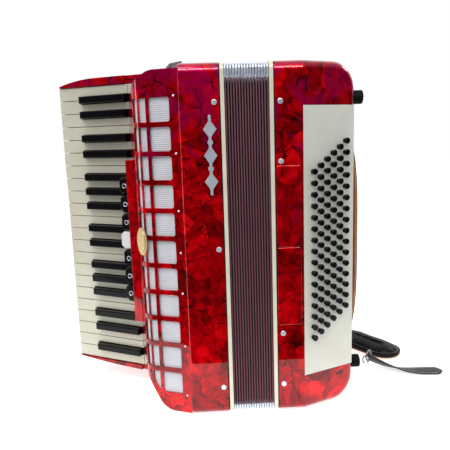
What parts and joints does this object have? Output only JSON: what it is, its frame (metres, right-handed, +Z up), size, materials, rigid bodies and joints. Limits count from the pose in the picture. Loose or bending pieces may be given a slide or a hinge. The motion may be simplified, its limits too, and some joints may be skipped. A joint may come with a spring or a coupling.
{
  "type": "piano accordion",
  "caption": "Piano accordion standing on its casings: piano keyboard, slotted grille, closed bellows, sloped bass button board and shoulder strap.",
  "frame": {"origin": "middle of the treble casing's standing face, on the floor", "axes": "+X from the keyboard to the bass side, -Y the front with the grille and the buttons, +Z up"},
  "size_m": [0.578, 0.3018, 0.494],
  "materials": {
    "red_pearloid": "polished celluloid with a marbled pearl figure over wood",
    "ivory_plastic": "polished, slightly yellowed",
    "white_plastic": "polished",
    "black_plastic": "polished",
    "cream_board": "satin celluloid",
    "cream_wood": "lacquered cream over wood",
    "soundboard_wood": "bare spruce and maple",
    "reed_metal": "brushed",
    "silver_mesh": "fine horizontal ribs",
    "bright_steel": "ground steel",
    "chrome_trim": "bright plating",
    "gold": "polished gold tone",
    "black_rubber": "matt",
    "bellows_cloth": "maroon book cloth with worn ridges",
    "strap_leather": "grained, stitched",
    "patent_leather": "patent gloss, stitched edges"
  },
  "bodies": {
    "treble": {"bellows": "bellows_cloth", "bellows_corners": "chrome_trim", "front_ornament": "chrome_trim", "grille_cover": "red_pearloid", "grille_mesh": "silver_mesh", "key_axle": "bright_steel", "keyboard_frame": "red_pearloid", "register_housing": "red_pearloid", "side_medallion": "gold", "strap_brackets": "bright_steel", "treble_bellows_frame": "cream_wood", "treble_bellows_pins": "chrome_trim", "treble_case": "red_pearloid", "treble_gasket": "black_rubber", "treble_reed_blocks": "soundboard_wood", "treble_reed_plates": "reed_metal", "treble_soundboard": "soundboard_wood"},
    "bass": {"bass_bellows_frame": "cream_wood", "bass_gasket": "black_rubber", "bass_bellows_pins": "chrome_trim", "bass_case": "red_pearloid", "button_board": "cream_board", "bass_mechanism": "reed_metal", "bass_soundboard": "soundboard_wood", "bass_reed_blocks": "soundboard_wood", "bass_reed_plates": "reed_metal", "bass_end_cover": "red_pearloid", "bass_feet": "black_rubber", "bass_hand_strap": "strap_leather", "shoulder_strap": "patent_leather", "strap_tail": "strap_leather", "strap_ring": "bright_steel"},
    "keys_c": {"key_c": "ivory_plastic"},
    "keys_d": {"key_d": "ivory_plastic"},
    "keys_e": {"key_e": "ivory_plastic"},
    "keys_f": {"key_f": "ivory_plastic"},
    "keys_g": {"key_g": "ivory_plastic"},
    "keys_a": {"key_a": "ivory_plastic"},
    "keys_b": {"key_b": "ivory_plastic"},
    "keys_c_sharp": {"key_c_sharp": "black_plastic"},
    "keys_d_sharp": {"key_d_sharp": "black_plastic"},
    "keys_f_sharp": {"key_f_sharp": "black_plastic"},
    "keys_g_sharp": {"key_g_sharp": "black_plastic"},
    "keys_a_sharp": {"key_a_sharp": "black_plastic"},
    "tab_1": {"register_tab_1": "black_plastic"},
    "tab_2": {"register_tab_2": "black_plastic"},
    "tab_3": {"register_tab_3": "black_plastic"},
    "tab_4": {"register_tab_4": "white_plastic"},
    "tab_5": {"register_tab_5": "black_plastic"},
    "tab_6": {"register_tab_6": "black_plastic"},
    "tab_7": {"register_tab_7": "black_plastic"},
    "button_row_1": {"bass_button_row_1": "black_plastic"},
    "button_row_2": {"bass_button_row_2": "black_plastic"},
    "button_row_3": {"bass_button_row_3": "black_plastic"},
    "button_row_4": {"bass_button_row_4": "black_plastic"},
    "button_row_5": {"bass_button_row_5": "black_plastic"},
    "button_row_6": {"bass_button_row_6": "black_plastic"},
    "upper_register": {"bass_register_upper": "red_pearloid"},
    "lower_register": {"bass_register_lower": "red_pearloid"},
    "air": {"air_button": "black_plastic"}
  },
  "joints": [
    {"name": "bellows_slide", "type": "slide", "parent": "treble", "child": "bass", "axis": [1, 0, 0], "range_m": [0, 0.28], "deforming": ["bellows", "bellows_corners"]},
    {"name": "press_key_c", "type": "hinge", "parent": "treble", "child": "keys_c", "pos_m": [-0.09009, 0.0076, 0.24], "axis": [0, 0, -1], "range_deg": [0, 2.6], "stiffness_Nm_per_rad": 2, "springref_deg": -3.44},
    {"name": "press_key_d", "type": "hinge", "parent": "treble", "child": "keys_d", "pos_m": [-0.09009, 0.0076, 0.24], "axis": [0, 0, -1], "range_deg": [0, 2.6], "stiffness_Nm_per_rad": 2, "springref_deg": -3.44},
    {"name": "press_key_e", "type": "hinge", "parent": "treble", "child": "keys_e", "pos_m": [-0.09009, 0.0076, 0.24], "axis": [0, 0, -1], "range_deg": [0, 2.6], "stiffness_Nm_per_rad": 2, "springref_deg": -3.44},
    {"name": "press_key_f", "type": "hinge", "parent": "treble", "child": "keys_f", "pos_m": [-0.09009, 0.0076, 0.24], "axis": [0, 0, -1], "range_deg": [0, 2.6], "stiffness_Nm_per_rad": 2, "springref_deg": -3.44},
    {"name": "press_key_g", "type": "hinge", "parent": "treble", "child": "keys_g", "pos_m": [-0.09009, 0.0076, 0.24], "axis": [0, 0, -1], "range_deg": [0, 2.6], "stiffness_Nm_per_rad": 2, "springref_deg": -3.44},
    {"name": "press_key_a", "type": "hinge", "parent": "treble", "child": "keys_a", "pos_m": [-0.09009, 0.0076, 0.24], "axis": [0, 0, -1], "range_deg": [0, 2.6], "stiffness_Nm_per_rad": 2, "springref_deg": -3.44},
    {"name": "press_key_b", "type": "hinge", "parent": "treble", "child": "keys_b", "pos_m": [-0.09009, 0.0076, 0.24], "axis": [0, 0, -1], "range_deg": [0, 2.6], "stiffness_Nm_per_rad": 2, "springref_deg": -3.44},
    {"name": "press_key_c_sharp", "type": "hinge", "parent": "treble", "child": "keys_c_sharp", "pos_m": [-0.09009, 0.0076, 0.24], "axis": [0, 0, -1], "range_deg": [0, 2.6], "stiffness_Nm_per_rad": 2, "springref_deg": -3.44},
    {"name": "press_key_d_sharp", "type": "hinge", "parent": "treble", "child": "keys_d_sharp", "pos_m": [-0.09009, 0.0076, 0.24], "axis": [0, 0, -1], "range_deg": [0, 2.6], "stiffness_Nm_per_rad": 2, "springref_deg": -3.44},
    {"name": "press_key_f_sharp", "type": "hinge", "parent": "treble", "child": "keys_f_sharp", "pos_m": [-0.09009, 0.0076, 0.24], "axis": [0, 0, -1], "range_deg": [0, 2.6], "stiffness_Nm_per_rad": 2, "springref_deg": -3.44},
    {"name": "press_key_g_sharp", "type": "hinge", "parent": "treble", "child": "keys_g_sharp", "pos_m": [-0.09009, 0.0076, 0.24], "axis": [0, 0, -1], "range_deg": [0, 2.6], "stiffness_Nm_per_rad": 2, "springref_deg": -3.44},
    {"name": "press_key_a_sharp", "type": "hinge", "parent": "treble", "child": "keys_a_sharp", "pos_m": [-0.09009, 0.0076, 0.24], "axis": [0, 0, -1], "range_deg": [0, 2.6], "stiffness_Nm_per_rad": 2, "springref_deg": -3.44},
    {"name": "press_tab_1", "type": "hinge", "parent": "treble", "child": "tab_1", "pos_m": [-0.10338, -0.0126, 0.31301], "axis": [0, 0, -1], "range_deg": [0, 7], "stiffness_Nm_per_rad": 0.05, "springref_deg": -8.59},
    {"name": "press_tab_2", "type": "hinge", "parent": "treble", "child": "tab_2", "pos_m": [-0.10338, -0.0126, 0.28634], "axis": [0, 0, -1], "range_deg": [0, 7], "stiffness_Nm_per_rad": 0.05, "springref_deg": -8.59},
    {"name": "press_tab_3", "type": "hinge", "parent": "treble", "child": "tab_3", "pos_m": [-0.10338, -0.0126, 0.25967], "axis": [0, 0, -1], "range_deg": [0, 7], "stiffness_Nm_per_rad": 0.05, "springref_deg": -8.59},
    {"name": "press_tab_4", "type": "hinge", "parent": "treble", "child": "tab_4", "pos_m": [-0.10338, -0.0126, 0.233], "axis": [0, 0, -1], "range_deg": [0, 7], "stiffness_Nm_per_rad": 0.05, "springref_deg": -8.59},
    {"name": "press_tab_5", "type": "hinge", "parent": "treble", "child": "tab_5", "pos_m": [-0.10338, -0.0126, 0.20633], "axis": [0, 0, -1], "range_deg": [0, 7], "stiffness_Nm_per_rad": 0.05, "springref_deg": -8.59},
    {"name": "press_tab_6", "type": "hinge", "parent": "treble", "child": "tab_6", "pos_m": [-0.10338, -0.0126, 0.17966], "axis": [0, 0, -1], "range_deg": [0, 7], "stiffness_Nm_per_rad": 0.05, "springref_deg": -8.59},
    {"name": "press_tab_7", "type": "hinge", "parent": "treble", "child": "tab_7", "pos_m": [-0.10338, -0.0126, 0.15299], "axis": [0, 0, -1], "range_deg": [0, 7], "stiffness_Nm_per_rad": 0.05, "springref_deg": -8.59},
    {"name": "press_row_1", "type": "slide", "parent": "bass", "child": "button_row_1", "axis": [-0.4067, 0.9135, 0], "range_m": [0, 0.0032], "stiffness_N_per_m": 300, "springref_m": -0.004},
    {"name": "press_row_2", "type": "slide", "parent": "bass", "child": "button_row_2", "axis": [-0.4067, 0.9135, 0], "range_m": [0, 0.0032], "stiffness_N_per_m": 300, "springref_m": -0.004},
    {"name": "press_row_3", "type": "slide", "parent": "bass", "child": "button_row_3", "axis": [-0.4067, 0.9135, 0], "range_m": [0, 0.0032], "stiffness_N_per_m": 300, "springref_m": -0.004},
    {"name": "press_row_4", "type": "slide", "parent": "bass", "child": "button_row_4", "axis": [-0.4067, 0.9135, 0], "range_m": [0, 0.0032], "stiffness_N_per_m": 300, "springref_m": -0.004},
    {"name": "press_row_5", "type": "slide", "parent": "bass", "child": "button_row_5", "axis": [-0.4067, 0.9135, 0], "range_m": [0, 0.0032], "stiffness_N_per_m": 300, "springref_m": -0.004},
    {"name": "press_row_6", "type": "slide", "parent": "bass", "child": "button_row_6", "axis": [-0.4067, 0.9135, 0], "range_m": [0, 0.0032], "stiffness_N_per_m": 300, "springref_m": -0.004},
    {"name": "press_upper_register", "type": "slide", "parent": "bass", "child": "upper_register", "axis": [0, 1, 0], "range_m": [0, 0.0024], "stiffness_N_per_m": 400, "springref_m": -0.003},
    {"name": "press_lower_register", "type": "slide", "parent": "bass", "child": "lower_register", "axis": [0, 1, 0], "range_m": [0, 0.0024], "stiffness_N_per_m": 400, "springref_m": -0.003},
    {"name": "press_air", "type": "slide", "parent": "bass", "child": "air", "axis": [-1, 0, 0], "range_m": [0, 0.003], "stiffness_N_per_m": 300, "springref_m": -0.004}
  ]
}
